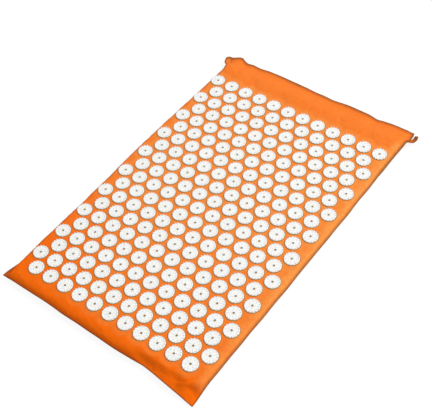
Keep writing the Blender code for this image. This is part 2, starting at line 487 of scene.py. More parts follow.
def weave(graph: Graph, given: Sockets) -> tuple[Socket, Socket]:
    """Plain weave: warp and weft threads that pass over and under each other in turn.

    A thread's section is |sin(pi u / pitch)|, its rise and fall along itself is half of
    1 + cos(pi v / pitch + pi floor(u / pitch)), and the higher of warp and weft shows.

    Args:
        graph: The group's graph.
        given: The group's inputs.

    Returns:
        Height and tone.
    """
    split = graph.add("SeparateXYZ", {0: given["Vector"]})
    counts = [graph.maths("DIVIDE", split[axis], given["Pitch"]) for axis in (0, 1)]
    threads = []
    for across, along, start in ((0, 1, 0.0), (1, 0, np.pi)):
        turn = graph.maths("MULTIPLY", counts[across], np.pi)
        section = graph.maths("ABSOLUTE", graph.maths("SINE", turn))
        parity = graph.maths("MULTIPLY", graph.maths("FLOOR", counts[across]), np.pi)
        wave = graph.maths("MULTIPLY_ADD", counts[along], np.pi, parity)
        rise = graph.maths("COSINE", graph.maths("ADD", wave, start))
        lift = graph.maths("MULTIPLY_ADD", rise, 0.5, 0.5)
        threads.append(graph.maths("MULTIPLY", section, lift))
    height = graph.maths("MAXIMUM", *threads)
    slubs = []
    for scale in ((1500.0, 45.0, 1.0), (45.0, 1500.0, 1.0)):
        drawn = graph.add("Mapping", {"Vector": given["Vector"], "Scale": scale})[0]
        slubs.append(graph.noise(drawn, 1.0, 3.0))
    slub = graph.maths("SUBTRACT", graph.maths("ADD", *slubs), 1.0)
    slub = graph.maths("MULTIPLY", slub, given["Slub"])
    tone = graph.maths("MULTIPLY_ADD", height, 0.10, 0.95)
    return graph.maths("ADD", height, slub), graph.maths("ADD", tone, slub)


def drift(graph: Graph, given: Sockets) -> tuple[Socket]:
    """Slow change of tone, such as uneven dye: 1 + 2 * amount * (noise - 1/2)."""
    centred = graph.maths("SUBTRACT", graph.noise(given["Vector"], given["Spots"], 3.0), 0.5)
    doubled = graph.maths("MULTIPLY", given["Amount"], 2.0)
    return (graph.maths("MULTIPLY_ADD", centred, doubled, 1.0),)


def paint_mask(graph: Graph, given: Sockets) -> tuple[Socket]:
    """Mask of painted light or painted shade: the mark times the amount, broken up by fine noise.
    """
    noise = graph.noise(given["Vector"], given["Grain"], 4.0)
    mask = graph.maths("MULTIPLY", given["Mark"], given["Amount"])
    return (graph.maths("MULTIPLY", mask, graph.spread(noise, 0.35, 0.65, 0.70, 1.0)),)


PLAIN_WEAVE = Effect("plain_weave", {"Pitch": 0.0006, "Slub": 0.5}, ("Height", "Tone"), weave)
TONE_DRIFT = Effect("tone_drift", {"Spots": 12.0, "Amount": 0.05}, ("Tone",), drift)
PAINTED_LIGHT_AND_SHADE = Effect("painted_light_and_shade", {"Mark": 0.0, "Amount": 0.5, "Grain": 400.0}, ("Mask",), paint_mask)


# Finishes


def linear(colour: Colour) -> Shade:
    """Display colour from 0 to 255 as the linear colour that a shader takes."""
    share = np.array(colour) / 255.0
    value = np.where(share <= 0.04045, share / 12.92, ((share + 0.055) / 1.055) ** 2.4)
    return (*value.tolist(), 1.0)


@dataclass(frozen=True)
class Finish:
    """What every finish has: a name and the colour that it shows in plain light."""

    name: str
    colour: Colour

    @cache
    def material(self) -> bpy.types.Material:
        """Make the material, once.

        Returns:
            The material, its shader set as the finish says.
        """
        made = bpy.data.materials.new(self.name)
        made.use_nodes = True
        graph = Graph(made.node_tree)
        graph.feed(made.node_tree.nodes["Principled BSDF"], self.shading(graph))
        return made

    def shading(self, graph: Graph) -> dict[str, Value]:
        """Values and sockets for the shader's inputs, by name."""
        raise NotImplementedError

    def toned(self, graph: Graph, tone: Socket) -> Socket:
        """The finish's colour times a tone."""
        inputs = {"Color": linear(self.colour), "Value": tone}
        return graph.add("HueSaturation", inputs)[0]


@dataclass(frozen=True)
class ClothFinish(Finish):
    """Dyed cotton in plain weave, with slubs, uneven dye, painted shade and painted light."""

    # Colour of the painted shade along the seams, in creases and on the tabs.
    shade: Colour = (112, 68, 36)
    # Colour of the painted light: paler, yellower cloth where the lamp's haze and sheen would show.
    faded: Colour = (247, 170, 88)
    sheen_tint: Colour = (255, 190, 140)
    pitch: float = 0.7 * MM
    slub: float = 0.16
    relief_depth: float = 0.12 * MM

    def shading(self, graph: Graph) -> dict[str, Value]:
        """Tone from weave and dye, then painted light and painted shade where the mesh marks them.
        """
        inputs = {"Vector": graph.cut(), "Pitch": self.pitch, "Slub": self.slub}
        weft = graph.effect(PLAIN_WEAVE, inputs)
        base = self.toned(graph, graph.maths("MULTIPLY", weft["Tone"], graph.drift(9.0, 0.05)))
        # Painted light: the cloth pales towards the painted light colour where the mesh marks it.
        base = graph.mix(graph.painted_mask("painted_light", 1.0, 160.0), base, linear(self.faded))
        fuzz = graph.noise(graph.place(), 2600.0)
        height = graph.maths("MULTIPLY_ADD", fuzz, 0.35, weft["Height"])
        return {
            # Painted shade: the crease mark darkens the cloth towards the shade colour.
            "Base Color": graph.mix(graph.painted_mask("crease", 1.0, 400.0), base, linear(self.shade)),
            "Roughness": graph.spread(weft["Height"], 0.0, 1.0, 0.95, 0.80),
            "Normal": graph.bump(height, 0.5, self.relief_depth),
            "Sheen Weight": 0.03,
            "Sheen Roughness": 0.45,
            "Sheen Tint": linear(self.sheen_tint),
            "Specular IOR Level": 0.12,
        }


@dataclass(frozen=True)
class PlasticFinish(Finish):
    """Moulded plastic: smooth plate, slightly duller spikes, painted shade in the corners."""

    # Colour of the painted shade under the plate's rim, in its hole and at the spikes' feet.
    painted_corner_shade: Colour = (172, 132, 88)

    def shading(self, graph: Graph) -> dict[str, Value]:
        """Each disc's own tone, painted shade by mark, and a fine mould texture."""
        tone = graph.maths("MULTIPLY", graph.mark("batch"), graph.drift(60.0, 0.02))
        painted_corner_shade = graph.painted_mask("corner", 0.8, 700.0)
        dull = graph.noise(graph.place(), 90.0, 3.0)
        return {
            "Base Color": graph.mix(painted_corner_shade, self.toned(graph, tone), linear(self.painted_corner_shade)),
            "Roughness": graph.spread(dull, 0.3, 0.7, 0.26, 0.42),
            "Normal": graph.bump(graph.noise(graph.place(), 1800.0, 3.0), 0.25, 0.04 * MM),
            "IOR": 1.5,
            "Subsurface Weight": 0.35,
            "Subsurface Scale": 1.2 * MM,
            "Subsurface Radius": (1.0, 1.0, 0.9),
        }


@dataclass(frozen=True)
class FoamFinish(Finish):
    """Open-celled foam: pores as dark points, and a slow yellowing."""

    pore: Colour = (196, 182, 146)

    def shading(self, graph: Graph) -> dict[str, Value]:
        """Pores from a cell texture, in colour and in relief."""
        cells = graph.cells(650.0)
        pores = graph.spread(cells, 0.15, 0.55, 1.0, 0.0)
        base = self.toned(graph, graph.drift(6.0, 0.04))
        return {
            "Base Color": graph.mix(pores, base, linear(self.pore)),
            "Roughness": 0.95,
            "Normal": graph.bump(cells, 0.8, 0.6 * MM),
        }


class TapeFace(Enum):
    """The two faces of a hook and loop closing."""

    HOOKS = "hook"
    LOOPS = "loop"


@dataclass(frozen=True)
class TapeFinish(Finish):
    """Woven closing tape with rows of hooks, or with a mat of fine loops."""

    face: TapeFace = TapeFace.HOOKS

    def shading(self, graph: Graph) -> dict[str, Value]:
        """A field of dots for hooks, tangled noise for loops."""
        if self.face is TapeFace.HOOKS:
            pile = graph.spread(graph.cells(800.0, 0.25), 0.1, 0.5, 1.0, 0.0)
        else:
            pile = graph.noise(graph.place(), 1400.0, 5.0, 0.7)
        return {
            "Base Color": self.toned(graph, graph.spread(pile, 0.0, 1.0, 0.72, 1.12)),
            "Roughness": 0.7,
            "Normal": graph.bump(pile, 0.9, 0.5 * MM),
        }


@dataclass(frozen=True)
class ThreadFinish(Finish):
    """Twisted sewing thread."""

    def shading(self, graph: Graph) -> dict[str, Value]:
        """Slanting bands on the thread's own map."""
        inputs = {"Vector": graph.cut(), "Scale": 700.0, "Distortion": 0.5}
        bands = graph.add("TexWave", inputs, bands_direction="DIAGONAL")[1]
        return {
            "Base Color": self.toned(graph, graph.spread(bands, 0.0, 1.0, 0.85, 1.05)),
            "Roughness": 0.55,
            "Normal": graph.bump(bands, 0.6, 0.1 * MM),
        }


@dataclass(frozen=True)
class AdhesiveAndShadeFinish(Finish):
    """Set adhesive, brown and a little glossy; partly painted shade round the discs and in holes.
    """

    def shading(self, graph: Graph) -> dict[str, Value]:
        """Blotches of depth of colour and an uneven skin."""
        return {
            "Base Color": self.toned(graph, graph.drift(220.0, 0.22)),
            "Roughness": 0.4,
            "Normal": graph.bump(graph.noise(graph.place(), 500.0, 3.0), 0.5, 0.2 * MM),
        }


# Pieces


def dress(piece: bpy.types.Object, finish: Finish, slot: str, *nodes: str) -> bpy.types.Object:
    """Give a piece its material, its body and the nodes that it stands for.

    Args:
        piece: The piece.
        finish: Its finish.
        slot: The record's slot; not used.
        *nodes: CAD nodes that it replaces.

    Returns:
        The piece.
    """
    piece.data.materials.append(finish.material())
    if nodes:
        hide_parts(*nodes)
    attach(piece, BODY)
    mesh = piece.data
    LOG.info("%s: %d points, %d faces", piece.name, len(mesh.vertices), len(mesh.polygons))
    return piece


@dataclass(frozen=True)
class Swell:
    """A bell-shaped rise or dip along an edge: where it is, how far it reaches, how high."""

    at: float
    reach: float
    rise: float


def swell_rows(*rows: Row) -> tuple[Swell, ...]:
    """Swells from their place, reach and rise in millimetres."""
    return tuple(Swell(*row) for row in metres(*rows))


def swelled(several: Sequence[Swell], value: Grid) -> Grid:
    """Height of several swells together at each place."""
    return sum(each.rise * hump(value, each.at, each.reach) for each in several)


@dataclass(frozen=True)
class Fold:
    """A groove or ridge from one point to another, deepest between them."""

    start: tuple[float, float]
    end: tuple[float, float]
    reach: float
    rise: float

    def on(self, x: Grid, y: Grid) -> Grid:
        """Rise times a bell of the distance to the line, faded at both of its ends."""
        run = np.array(self.end) - np.array(self.start)
        length = float(np.hypot(*run))
        off_x, off_y = x - self.start[0], y - self.start[1]
        share = (off_x * run[0] + off_y * run[1]) / length**2
        away = (off_x * run[1] - off_y * run[0]) / length
        ends = smooth(share, -0.15, 0.25) * smooth(share, 1.15, 0.75)
        return self.rise * hump(away, 0.0, self.reach) * ends


def fold_rows(*rows: Row) -> tuple[Fold, ...]:
    """Folds from their start, end, reach and rise in millimetres."""
    return tuple(Fold(row[:2], row[2:4], *row[4:]) for row in metres(*rows))


def spanned(
    across: Grid, along: Grid, half: tuple[float, float], edges: Callable[[Grid, Grid], Grids]
) -> Grids:
    """Plan of a grid whose points take their shares of the way between four edges.

    The edges are read at the point itself, so that the points settle in a few rounds.

    Args:
        across: Shares of the way from left to right.
        along: Shares of the way from near to far.
        half: Half of the width and of the length, to start from.
        edges: Gives the left, right, near and far edge at x and y.

    Returns:
        x and y of the points, rows by columns.
    """
    across, along = across[None, :], along[:, None]
    x = (2 * across - 1) * half[0] + 0 * along
    y = (2 * along - 1) * half[1] + 0 * across
    for _ in range(4):
        left, right, near, far = edges(x, y)
        x, y = left + (right - left) * across, near + (far - near) * along
    return x, y


@dataclass
class CoverForm:
    """The cover's plan and heights, as formulas of the place on its grid.

    The nodes give the main sizes. The rest is what the cloth does between them: a flange
    pressed along the seams, a loose near right corner, an ear at the near left one, and a hem
    that waves at the plain end.
    """

    half_width: float
    half_length: float
    crest: float
    seam: float
    disc_radius: float
    disc_pitch: float
    row_pitch: float
    first_row: float
    short_row: int
    rows: int
    cloth: float = 0.6 * MM
    hem: float = 15 * MM
    hem_gap: float = 1.95 * MM
    tab_gap: float = 0.6 * MM
    side_reach: float = 7.0 * MM
    near_reach: float = 12.0 * MM
    far_reach: float = 24 * MM
    squareness: float = 2.2
    flange: float = 1.5 * MM
    near_flange: float = 1.8 * MM
    side_proud: float = 2.3 * MM
    near_edge: float = -0.3 * MM
    far_proud: float = 1.3 * MM
    loose_from: float = 98 * MM
    loose_reach: float = 10.9 * MM
    loose_drop: float = 7.0 * MM
    across: int = 172
    along: int = 244
    near_swells: tuple[Swell, ...] = swell_rows(
        (-207, 22, -1.6), (-65, 52, -1.7), (-12, 28, -0.7), (45, 55, -3.6), (95, 30, 0.9),
        (160, 20, -1.1),
    )
    left_swells: tuple[Swell, ...] = swell_rows(
        (-235, 30, -1.2), (-25, 30, -0.8), (38, 62, -2.2), (105, 20, -0.6)
    )
    right_swells: tuple[Swell, ...] = swell_rows((-105, 35, 0.6), (225, 18, 0.8))
    hem_swells: tuple[Swell, ...] = swell_rows(
        (-185.5, 7.7, 3.3), (-182, 2.6, 1.2), (-167.5, 9.2, -3.6), (-140, 17, -2.7),
        (-84, 30, 0.7), (-5, 16, -1.3), (30, 15, -1.9), (66, 16, 1.5), (92, 22, 1.8),
        (108, 9, 0.7), (129, 8, -1.7), (160, 18, 1.4), (188, 32, 3.4), (204, 9, 2.2),
    )
    folds: tuple[Fold, ...] = fold_rows(
        (165, -329.5, 193, -316.7, 2.3, -1.3),
        (162, -317.5, 182, -311.5, 2.6, 1.0),
        (-207, -325, -192, -311, 1.8, -1.4),
        (207, 312, 200, 326, 3.0, -1.6),
        (-203, 309, -190, 303, 3.0, -0.8),
    )

    def plan(self) -> Grids:
        """Plan coordinates of the grid, closer together towards the seams."""
        across = stations(2 * self.half_width, self.across, 4.0, 12 * MM)
        along = stations(2 * self.half_length, self.along, 4.0, 14 * MM)
        return spanned(across, along, (self.half_width, self.half_length), self.edges)

    def edges(self, x: Grid, y: Grid) -> Grids:
        """The cloth's left, right, near and far edge at x and y."""
        return self.left_edge(y), self.right_edge(y), self.near_line(x), self.far_line(x)

    def right_edge(self, y: Grid) -> Grid:
        """Where the right seam lies at y: drawn in a little, then out to an ear at the far end."""
        drawn = ramps(y, (1.9, 60, 260), (-1.1, 262, 304), (-3.4, 302, 312), (1.8, 321, 330))
        drawn -= swelled(self.right_swells, y)
        ripple = 0.35 * MM * relief(11, y, 0 * y, 70 * MM)
        return self.half_width + self.side_proud - drawn + ripple

    def left_edge(self, y: Grid) -> Grid:
        """Where the left seam lies at y: the foam's side, with an ear at both corners."""
        ear = 8.0 * MM * hump(y, -self.half_length, 32 * MM) + ramps(y, (2.4, 280, 318))
        ripple = 0.35 * MM * relief(12, y, 0 * y, 70 * MM)
        return self.left_round(y) - ear + ripple

    def left_round(self, y: Grid) -> Grid:
        """Where the foam begins to fill the cover on the left: the seam without its ear."""
        drawn = ramps(y, (3.0, 130, 290), (-3.4, 277, 301)) + swelled(self.left_swells, y)
        return -self.half_width + 0.6 * MM + drawn

    def near_line(self, x: Grid) -> Grid:
        """Where the near seam lies at x: a slow wave, then a slant out to the loose corner."""
        past = np.maximum(x - self.loose_from, 0.0)
        slant = self.loose_reach * (past / (self.half_width - self.loose_from))
        ripple = 0.3 * MM * relief(13, x, 0 * x, 60 * MM)
        wave = swelled(self.near_swells, x)
        return -self.half_length + self.near_edge + wave - slant + ripple

    def valley(self, x: Grid) -> Grid:
        """Where the loose cloth falls steepest, from the foam to the flap at the near side."""
        return -318 * MM + ramps(x, (4.2, 140, 185))

    def second_valley(self, x: Grid) -> Grid:
        """Where the corner's own fold falls steepest, which takes over from the valley."""
        return -327 * MM + ramps(x, (15.5, 170, 200))

    def far_line(self, x: Grid) -> Grid:
        """Where the hem's edge lies at x."""
        corner = ramps(x, (2.6, -195, -203), (1.8, -202, -207))
        wave = 0.45 * swelled(self.hem_swells, x)
        return self.half_length + self.far_proud + wave - corner

    def looseness(self, x: Grid, y: Grid) -> Grid:
        """How loose the cloth is towards the near right corner, from 0 to 1."""
        rightwards = smooth(x, 150 * MM, self.half_width + 4 * MM)
        return rightwards * smooth(y, -self.half_length + 40 * MM, -self.half_length - 8 * MM)

    def seam_level(self, x: Grid, y: Grid) -> Grid:
        """Height of the surface on which the two panels meet."""
        drop = self.loose_drop * self.looseness(x, y)
        drop += 2.4 * MM * hump(x, 95 * MM, 30 * MM) * ramp(y, -298, -324)
        end = smooth(y, self.half_length - 44 * MM, self.half_length - 8 * MM)
        return self.seam - drop + 0.62 * swelled(self.hem_swells, x) * end

    def opening(self, x: Grid, y: Grid) -> Grid:
        """Half of the gap between the panels where tapes or tabs lie between them."""
        hem = smooth(y, self.half_length - 66 * MM, self.half_length - 44 * MM)
        inside = ramp(self.half_width - np.abs(x), 2, 12)
        low, high = (np.where(x < 0, *ends) * MM for ends in ((302, 306), (321, 315)))
        tab = ramp(y - low, -1.5, 1.5) * ramp(high - y, -1.5, 1.5)
        return self.hem_gap * hem * inside + self.tab_gap * tab * (1 - inside)

    def fullness(self, x: Grid, y: Grid) -> Grid:
        """Share of the full height that the foam gives the cover, from 0 at the seams to 1."""
        right = self.right_edge(y) - x - self.flange
        left = x - self.left_round(y) - self.flange
        near = y - self.near_line(x) - self.near_flange
        far = self.far_line(x) - y - self.hem
        tight = rounded(near, self.near_reach, self.squareness)
        flap = 0.62 - 0.12 * ramp(x, 108, 135) - 0.20 * ramp(x, 138, 158)
        flap += 0.18 * ramp(x, 186, 206)
        step = flap * smooth(near, -4 * MM, 17 * MM - ramps(x, (5, 125, 150)))
        second = ramp(x, 158, 184)
        first_half = 5.2 * MM + ramps(x, (1.0, 140, 155))
        second_half = 6.0 * MM + ramps(x, (8, 188, 204))
        fall = (1 - second) * smooth((y - self.valley(x)) / first_half, -1.0, 1.0)
        fall += second * smooth((y - self.second_valley(x)) / second_half, -1.0, 1.0)
        step += (1 - flap) * fall
        front = tight + (step - tight) * ramp(x, 62, 100)
        side = rounded(right, self.side_reach, self.squareness)
        side += (ramp(right, -3, 26) - side) * ramp(y, -308, -326)
        other = rounded(left, self.side_reach, self.squareness)
        return side * other * front * smooth(far, -4 * MM, self.far_reach)

    def disc_distance(self, x: Grid, y: Grid) -> Grid:
        """Distance to the centre of the nearest disc."""
        best = np.full(x.shape, np.inf)
        for row in range(self.rows):
            count = self.short_row + row % 2
            half = (count - 1) / 2
            number = np.clip(np.round(x / self.disc_pitch + half), 0, count - 1)
            off_x = x - (number - half) * self.disc_pitch
            off_y = y - self.first_row - row * self.row_pitch
            best = np.minimum(best, np.hypot(off_x, off_y))
        return best

    def border_distance(self, x: Grid, y: Grid) -> Grid:
        """Distance inside the nearest edge of the cloth."""
        left, right, near, far = self.edges(x, y)
        inside = np.minimum(np.minimum(right - x, x - left), np.minimum(y - near, far - y))
        return np.maximum(inside, 0.0)

    def puckers(self, x: Grid, y: Grid) -> Grid:
        """Short gathers across the seams, and slow waves in the plain bands."""
        border = self.border_distance(x, y)
        free = smooth(self.disc_distance(x, y), self.disc_radius, self.disc_radius + 10 * MM)
        gathers = 0.45 * MM * relief(5, x, y, 11 * MM, 16) * np.exp(-border / (6 * MM))
        waves = 0.55 * MM * relief(6, x, y, 75 * MM) * free
        return (gathers + waves) * ramp(border, 0.0, 3)

    def edge_height(self, x: Grid, y: Grid) -> Grid:
        """Thickness that the cloth keeps over the seam's level, rounded off at its edge."""
        return self.cloth * rounded(self.border_distance(x, y), 1.1 * self.cloth)

    def stitch_dip(self, x: Grid, y: Grid) -> Grid:
        """How far the hem's row of stitches draws the cloth in."""
        return 0.45 * MM * hump(self.far_line(x) - y, 7 * MM, 1.4 * MM)

    def top(self, x: Grid, y: Grid) -> Grid:
        """Height of the top panel: full height, quilted between the discs, folds, puckers."""
        level, edge = self.seam_level(x, y), self.edge_height(x, y)
        full = self.crest - 0.05 * MM + 0.18 * MM * ramp(self.disc_distance(x, y), 13.5, 17)
        base = level + self.opening(x, y) + edge
        height = base + (full - base) * self.fullness(x, y)
        height = height + sum(each.on(x, y) for each in self.folds) + self.puckers(x, y)
        return np.maximum(height - self.stitch_dip(x, y), level + 0.5 * edge)

    def bottom(self, x: Grid, y: Grid) -> Grid:
        """Height of the bottom panel: the same, turned down, and flat on what it rests on."""
        level, edge = self.seam_level(x, y), self.edge_height(x, y)
        share = self.fullness(x, y)
        base = level - self.opening(x, y) - edge
        puckers = 0.7 * self.puckers(x + 0.5, y) * smooth(share, 1.0, 0.7)
        height = base * (1 - share) + puckers + self.stitch_dip(x, y)
        return np.maximum(np.minimum(height, level - 0.5 * edge), 0.0)


def settled(
    points: Grid, held: Grid, pressure: float, slack: float, cap: float, sink: float
) -> Grid:
    """Let a cloth grid swell and wrinkle between the places that hold it, with Blender's Cloth.

    Args:
        points: The grid at rest, rows by columns by 3.
        held: How firmly each point is held, 0 free to 1 fixed. Its move shrinks as much.
        pressure: Push along the normals.
        slack: Share by which the cloth is cut too large.
        cap: Farthest that a point may move.
        sink: Farthest that it may move inwards, towards what the cloth covers.

    Returns:
        The settled grid.
    """
    rows, columns = points.shape[:2]
    cloth = Form(points.reshape(-1, 3), [grid_quads(rows, columns)]).object("cloth_at_rest")
    group = cloth.vertex_groups.new(name="held")
    weights = np.round(held.ravel(), 2)
    for weight in np.unique(weights[weights > 0]):
        members = np.flatnonzero(weights == weight).tolist()
        group.add(members, float(weight), "REPLACE")
    settings = cloth.modifiers.new("settle", "CLOTH").settings
    stiffness = {"tension": 30.0, "compression": 30.0, "shear": 12.0, "bending": 0.4}
    for kind, value in stiffness.items():
        setattr(settings, f"{kind}_stiffness", value)
    settings.quality = 6
    settings.mass = 0.2
    settings.vertex_group_mass = "held"
    settings.use_pressure = True
    settings.uniform_pressure_force = pressure
    settings.shrink_min = -slack
    settings.effector_weights.gravity = 0.0
    scene = bpy.context.scene
    for frame in range(1, CLOTH_STEPS + 1):
        scene.frame_set(frame)
    graph = bpy.context.evaluated_depsgraph_get()
    moved = np.empty(points.size, np.float32)
    cloth.evaluated_get(graph).data.vertices.foreach_get("co", moved)
    scene.frame_set(1)
    mesh = cloth.data
    bpy.data.objects.remove(cloth)
    bpy.data.meshes.remove(mesh)
    shift = moved.reshape(points.shape).astype(float) - points
    length = np.linalg.norm(shift, axis=-1, keepdims=True)
    shift *= np.minimum(1.0, cap / np.maximum(length, 1e-9)) * (1.0 - held[..., None])
    normal = grid_normals(points)
    outwards = (shift * normal).sum(-1, keepdims=True)
    return points + shift + normal * np.maximum(-sink - outwards, 0.0)


@dataclass
class SewnCover:
    """The two cloth panels of the cover."""

    form: CoverForm
    finish: ClothFinish
    underside: ClothFinish
    pressure: float = 3.0
    slack: float = 0.006
    swell_cap: float = 1.2 * MM
    sink_cap: float = 0.15 * MM

    def __post_init__(self) -> None:
        self.x, self.y = self.form.plan()
        self.top_points = stacked(self.x, self.y, self.form.top(self.x, self.y))
        self.bottom_points = stacked(self.x, self.y, self.form.bottom(self.x, self.y))
        self.top_points = self.settle(self.top_points)

    def marks(self, up: float) -> dict[str, Grid]:
        """Where painted shade darkens the cloth along its edge, and where painted light pales it.

        The painted shade lies along the seams, wider on the underside. The painted light grows
        towards the plain end, and is strongest along the right side, as a painted sheen.
        """
        form, x, y = self.form, self.x, self.y
        border = form.border_distance(x, y)
        far, left = form.far_line(x) - y, x - form.left_edge(y)
        near = y - form.near_line(x)
        wide = 1.9 + 2.4 * ramp(far, 12, 4) + 3.2 * ramp(left, 14, 8)
        wide += 1.0 * ramp(y, 150, 260) - 0.4 * ramp(near, 12, 4)
        reach = wide * MM if up > 0 else 5.0 * MM
        tab = ramp(left, 9, 5) * ramp(y, 299, 304) * ramp(far, 1, 6)
        # Painted shade: darker cloth close to the edge, less beside the left tab.
        groove = np.exp(-((border / reach) ** 2)) * (1 - 0.85 * tab)
        # Painted shade on the hem's row of stitches and in the crease where the right tab is sewn
        # on.
        stitched = 0.15 * hump(far, 7 * MM, 1.0 * MM)
        stitched += 0.3 * hump(np.hypot(x - 203.5 * MM, y - 318 * MM), 0.0, 3.5 * MM)
        # Painted light: paler cloth towards the plain end, and over the disc field towards its
        # right and far part.
        field = ramp(form.disc_distance(x, y), 27, 20)
        field *= ramp(x + 0.4 * (y + 300 * MM), -200, 0)
        painted_light = 0.29 * ramp(y, -310, 20) + 0.23 * field
        # Painted sheen: paler cloth along the right side, weaker towards the near end and by the
        # hem.
        band = ramp(form.right_edge(y) - x, 21, 9) * ramp(y, -322, -300)
        band *= 0.62 + 0.38 * ramp(y, -260, -60)
        band *= 1 - 0.9 * ramp(far, 58, 26)
        painted_light += (0.72 - painted_light) * band
        return {"crease": np.clip(groove + stitched, 0, 1), "painted_light": painted_light if up > 0 else 0 * painted_light}

    def thickness(self) -> Grid:
        """Cloth, thinned to its edge, and doubled where the hem is turned in."""
        border = self.form.border_distance(self.x, self.y)
        far = self.form.far_line(self.x) - self.y
        hem = smooth(far, self.form.hem - 1 * MM, self.form.hem - 3 * MM)
        return self.form.cloth * (1 + 0.8 * hem) * np.clip(border / (1.3 * MM), 0.08, 1.0)

    def panel(self, outer: Grid, up: float) -> Form:
        """Close a panel from its outer surface; up is 1 for the top and -1 for the bottom."""
        room = up * (outer[..., 2] - self.form.seam_level(self.x, self.y))
        depth = np.minimum(self.thickness(), np.maximum(room - 0.02 * MM, 0.03 * MM))
        inner = outer - up * grid_normals(outer) * depth[..., None]
        flat = stacked(running_length(outer, 1), running_length(outer, 0))
        flat -= flat[self.form.along // 2, self.form.across // 2]
        return shell(outer, inner, flat, self.marks(up))

    def settle(self, rest: Grid) -> Grid:
        """Swell the free cloth of the top between discs, seams and hem."""
        form = self.form
        disc = 1 - ramp(form.disc_distance(self.x, self.y), 15.2, 22)
        border = 1 - ramp(form.border_distance(self.x, self.y), 1, 4)
        far = form.far_line(self.x) - self.y
        hem = smooth(far, form.hem + 4 * MM, form.hem - 2 * MM)
        held = np.maximum(np.maximum(disc, border), hem)
        return settled(rest, held, self.pressure, self.slack, self.swell_cap, self.sink_cap)

    def build(self) -> tuple[bpy.types.Object, bpy.types.Object]:
        """Make both panels.

        Returns:
            The top and the bottom panel.
        """
        top = self.panel(self.top_points, 1.0).object("cover_top_cloth")
        bottom = self.panel(self.bottom_points, -1.0).object("cover_bottom_cloth")
        dress(top, self.finish, "cover_cloth", "cover_top_panel")
        dress(bottom, self.underside, "cover_cloth_underside", "cover_bottom_panel")
        return top, bottom

    def line_at(self, points: Grid, inside: float, step: float) -> Grid:
        """The grid row that lies this far inside the hem's edge, with points a step apart."""
        far = self.form.far_line(self.x) - self.y
        row = points[int(np.argmin(np.abs(far.mean(1) - inside)))]
        length = running_length(row[None], 1)[0]
        even = np.arange(0.0, length[-1], step)
        return stacked(*(np.interp(even, length, row[:, axis]) for axis in range(3)))


@dataclass
class FoamSlab:
    """The foam slab, which fills the cover up to a small gap under the cloth."""

    form: CoverForm
    finish: FoamFinish
    side_gap: float = 2.0 * MM
    face_gap: float = 1.3 * MM
    across: int = 90
    along: int = 140

    def edges(self, x: Grid, y: Grid) -> Grids:
        """The slab's left, right, near and far side at x and y, inside the cover's."""
        form = self.form
        inset = form.flange + self.side_gap
        right = form.right_edge(y) - inset - ramps(y, (12, -285, -320))
        near = form.near_line(x) + form.near_flange + self.side_gap
        near += (form.valley(x) + 2 * MM - near) * ramp(x, 66, 104)
        return form.left_round(y) + inset, right, near, form.far_line(x) - form.hem - self.side_gap

    def build(self) -> bpy.types.Object:
        """Make the slab: the cover's two surfaces, each drawn in by the gap under the cloth.

        Returns:
            The slab.
        """
        form = self.form
        across = stations(2 * form.half_width, self.across, 3.0, 7 * MM)
        along = stations(2 * form.half_length, self.along, 3.0, 9 * MM)
        x, y = spanned(across, along, (form.half_width, form.half_length), self.edges)
        cover = form.top(x, y)
        slope = grid_normals(stacked(x, y, cover))[..., 2]
        upper = cover - self.face_gap / np.maximum(slope, 0.4)
        lower = np.minimum(form.bottom(x, y) + self.face_gap, upper - 1.0 * MM)
        skin = shell(stacked(x, y, upper), stacked(x, y, lower), stacked(x, y), {})
        slab = skin.object("foam_slab", 60.0)
        dress(slab, self.finish, "foam", "foam_pad")
        return slab


@dataclass
class ClosingTapes:
    """The hook tape and the loop tape, sewn inside the hem."""

    form: CoverForm
    hooks: TapeFinish
    loops: TapeFinish
    width: float = 12 * MM
    thickness: float = 0.9 * MM
    end_gap: float = 16 * MM
    gap: float = 0.15 * MM

    def tape(self, up: float) -> Form:
        """A strip that follows the hem: up is 1 for the upper tape and -1 for the lower."""
        form = self.form
        x = np.linspace(-1, 1, 181)[:, None] * (form.half_width - self.end_gap)
        corner = np.array([-1.0, -0.96, 0.96, 1.0, 1.0, 0.96, -0.96, -1.0])[None, :]
        level = np.array([0.2, 0.0, 0.0, 0.2, 0.8, 1.0, 1.0, 0.8])[None, :]
        y = form.far_line(x) - form.hem / 2 + corner * self.width / 2
        z = form.seam_level(x, y) + up * (self.gap + level * self.thickness)
        return tube(stacked(x, y, z))

    def build(self) -> None:
        """Make both tapes."""
        hook = self.tape(1.0).object("hook_tape")
        loop = self.tape(-1.0).object("loop_tape")
        dress(hook, self.hooks, "hook_tape", "closing_hook_tape")
        dress(loop, self.loops, "loop_tape", "closing_loop_tape")


